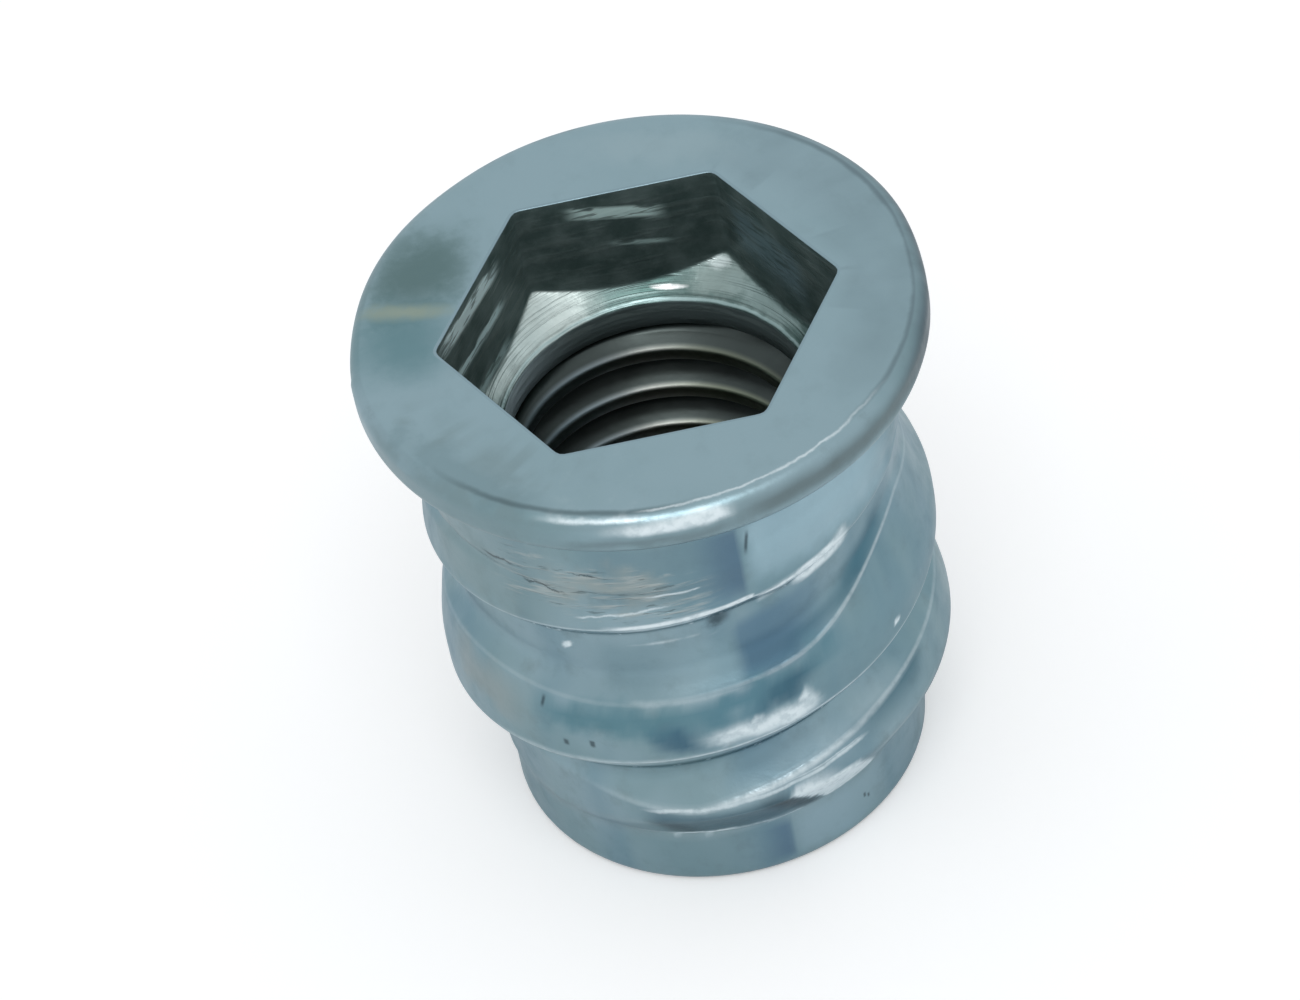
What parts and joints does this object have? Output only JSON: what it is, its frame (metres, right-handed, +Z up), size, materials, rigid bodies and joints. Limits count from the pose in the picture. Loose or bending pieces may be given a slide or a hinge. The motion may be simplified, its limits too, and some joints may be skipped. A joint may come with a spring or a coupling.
{
  "type": "flanged threaded insert",
  "caption": "Flanged screw-in threaded insert for timber, with a coarse outer thread, a hex drive socket and a bore for a machine bolt.",
  "frame": {"origin": "centre of the lower end face", "axes": "+Z up along the bore's axis, from the pilot end to the flange; one corner of the hex socket on +X"},
  "size_m": [0.0134, 0.0134, 0.0141],
  "materials": {
    "zinc_plate": "bright blue-passivated zinc plate on zinc alloy, slightly dulled"
  },
  "bodies": {
    "root": {"insert_body": "zinc_plate"}
  },
  "joints": []
}
